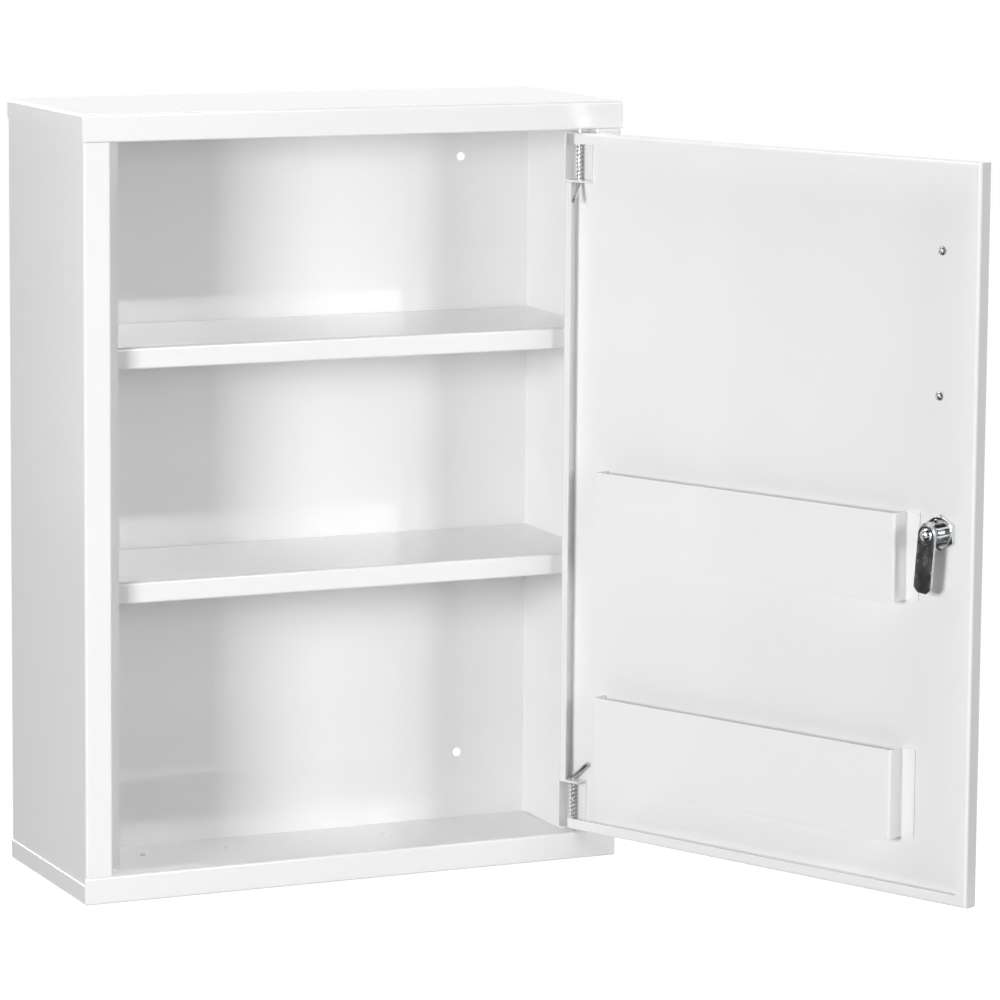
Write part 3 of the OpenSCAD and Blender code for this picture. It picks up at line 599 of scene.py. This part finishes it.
def studio_white(name, near, far, shade):
    """Pale floor: diffuse, plus a white of its own where it is seen directly. That white rises from near,
    round the object, where the lamps add to it and the shadow shows, to far at a distance, where their light
    has faded."""
    made = bpy.data.materials.new(name)
    made.use_nodes = True
    nodes, links = made.node_tree.nodes, made.node_tree.links
    nodes.clear()
    spot = nodes.new("ShaderNodeTexCoord")
    away = nodes.new("ShaderNodeVectorMath")
    away.operation = "LENGTH"
    links.new(spot.outputs["Object"], away.inputs[0])
    rise = nodes.new("ShaderNodeMapRange")
    for key, value in (("From Min", 1.6), ("From Max", 3.2), ("To Min", near), ("To Max", far)):
        rise.inputs[key].default_value = value
    links.new(away.outputs["Value"], rise.inputs["Value"])
    level = nodes.new("ShaderNodeMath")
    level.operation = "MULTIPLY"
    links.new(rise.outputs[0], level.inputs[0])
    links.new(seen_directly(nodes, links), level.inputs[1])
    glow = nodes.new("ShaderNodeEmission")
    links.new(level.outputs[0], glow.inputs["Strength"])
    matt = nodes.new("ShaderNodeBsdfDiffuse")
    matt.inputs["Color"].default_value = (shade, shade, shade, 1)
    both = nodes.new("ShaderNodeAddShader")
    links.new(matt.outputs[0], both.inputs[0])
    links.new(glow.outputs[0], both.inputs[1])
    out = nodes.new("ShaderNodeOutputMaterial")
    links.new(both.outputs[0], out.inputs["Surface"])
    return made


def white_world(level):
    """White of strength 1 where it is seen directly, and plain grey light of that level on the surfaces."""
    world = bpy.data.worlds.new("studio")
    bpy.context.scene.world = world
    world.use_nodes = True
    nodes, links = world.node_tree.nodes, world.node_tree.links
    strength = nodes.new("ShaderNodeMapRange")
    strength.inputs["To Min"].default_value = level
    strength.inputs["To Max"].default_value = 1.0
    links.new(seen_directly(nodes, links), strength.inputs["Value"])
    nodes["Background"].inputs["Color"].default_value = (1, 1, 1, 1)
    links.new(strength.outputs[0], nodes["Background"].inputs["Strength"])


def flat_sheet(name, corners, finish):
    """A plane between four corners, as a grid of two parameters."""
    a, b, c, d = (np.array(p, float) for p in corners)
    u = np.linspace(0, 1, 9)[:, None, None]
    v = np.linspace(0, 1, 9)[None, :, None]
    grid = (1 - u) * ((1 - v) * a + v * b) + u * ((1 - v) * d + v * c)
    sheet = skin(name, grid, ring=False)
    sheet.data.materials.append(finish)
    return sheet


def soft_box(name, place_at, aim, size, power):
    """A rectangular lamp that looks from its place at its aim."""
    data = bpy.data.lights.new(name, "AREA")
    data.shape = "RECTANGLE"
    data.size, data.size_y = size
    data.energy = power
    lamp = bpy.data.objects.new(name, data)
    lamp.location = place_at
    lamp.rotation_euler = (Vector(aim) - Vector(place_at)).to_track_quat("-Z", "Y").to_euler()
    bpy.context.scene.collection.objects.link(lamp)
    return lamp


# The studio is in metres
FLOOR_Z, FLOOR_HALF = -1.1, 12
white_world(0.04)
floor_corners = [(x * FLOOR_HALF, y * FLOOR_HALF, FLOOR_Z) for x, y in ((-1, -1), (1, -1), (1, 1), (-1, 1))]
flat_sheet("floor", floor_corners, studio_white("pale_floor", 0.8, 1.0, 0.6))

black = bpy.data.materials.new("black_card")
black.use_nodes = True
black.node_tree.nodes["Principled BSDF"].inputs["Base Color"].default_value = (0.02, 0.02, 0.02, 1)
black.node_tree.nodes["Principled BSDF"].inputs["Roughness"].default_value = 0.9
# Black cards that show only in reflections, where the photo's studio is dark
CARDS = {
    "left_card": [(-1.7, -0.9, -0.9), (-1.7, 0.9, -0.9), (-1.7, 0.9, 0.35), (-1.7, -0.9, 0.35)],
    "rear_left_card": [(-1.7, 3.9, -1.05), (-1.7, 7.0, -1.05), (-1.7, 7.0, 0.6), (-1.7, 3.9, 0.6)],
    "rear_floor_card": [(-2.8, 1.2, -1.05), (-0.8, 1.2, -1.05), (-0.8, 6.0, -1.05), (-2.8, 6.0, -1.05)],
    "front_floor_card": [(-2.4, -3.2, -1.05), (0.6, -3.2, -1.05), (0.6, 0.3, -1.05), (-2.4, 0.3, -1.05)],
    "right_card": [(1.9, -2.6, -0.8), (2.6, -0.9, -0.8), (2.6, -0.9, 1.0), (1.9, -2.6, 1.0)],
    "front_card": [(-2.6, -4.3, -0.7), (0.5, -4.3, -0.7), (0.5, -4.3, 2.4), (-2.6, -4.3, 2.4)],
    "ceiling_card": [(-2.4, -3.2, 2.6), (2.4, -3.2, 2.6), (2.4, 0.6, 2.6), (-2.4, 0.6, 2.6)],
}
for name, corners in CARDS.items():
    card = flat_sheet(name, corners, black)
    card.visible_camera = False
    card.visible_diffuse = False
    card.visible_shadow = False

MIDDLE = Vector((0.0, -0.12, 0.0))


def from_side(turn, rise, away):
    """A place that far from the cabinet's middle, turned from the front (left is positive) and raised."""
    turn, rise = math.radians(turn), math.radians(rise)
    way = Vector((-math.sin(turn) * math.cos(rise), -math.cos(turn) * math.cos(rise), math.sin(rise)))
    return MIDDLE + way * away


def lit(level, away):
    """Power of a lamp that lights a white face turned to it, that far away, to the level: level pi^2 d^2."""
    return level * math.pi ** 2 * away ** 2


# Each lamp: turn and rise as from_side has them, distance, size, and the level that it lights
LAMPS = {
    "key_from_left": (50, 8.5, 2.6, (0.6, 0.6), 0.68),
    "right_strip": (-17.5, 10, 3.2, (0.42, 0.70), 0.163),
    "far_right_strip": (-29, 10, 3.2, (0.5, 0.6), 0.073),
    "high_right": (-26, 24, 3.2, (0.8, 0.8), 0.09),
    "high_left": (70, 45, 2.8, (1.0, 1.0), 0.05),
    "over_the_top": (0, 100, 2.2, (1.4, 1.2), 0.50),
    "right_side_fill": (-105, 15, 2.6, (1.2, 1.2), 0.40),
    "rear_fill": (165, 15, 2.8, (1.2, 1.2), 0.50),
}
for name, (turn, rise, away, size, level) in LAMPS.items():
    soft_box(name, from_side(turn, rise, away), MIDDLE, size, lit(level, away))

bpy.context.scene.view_settings.view_transform = "Standard"
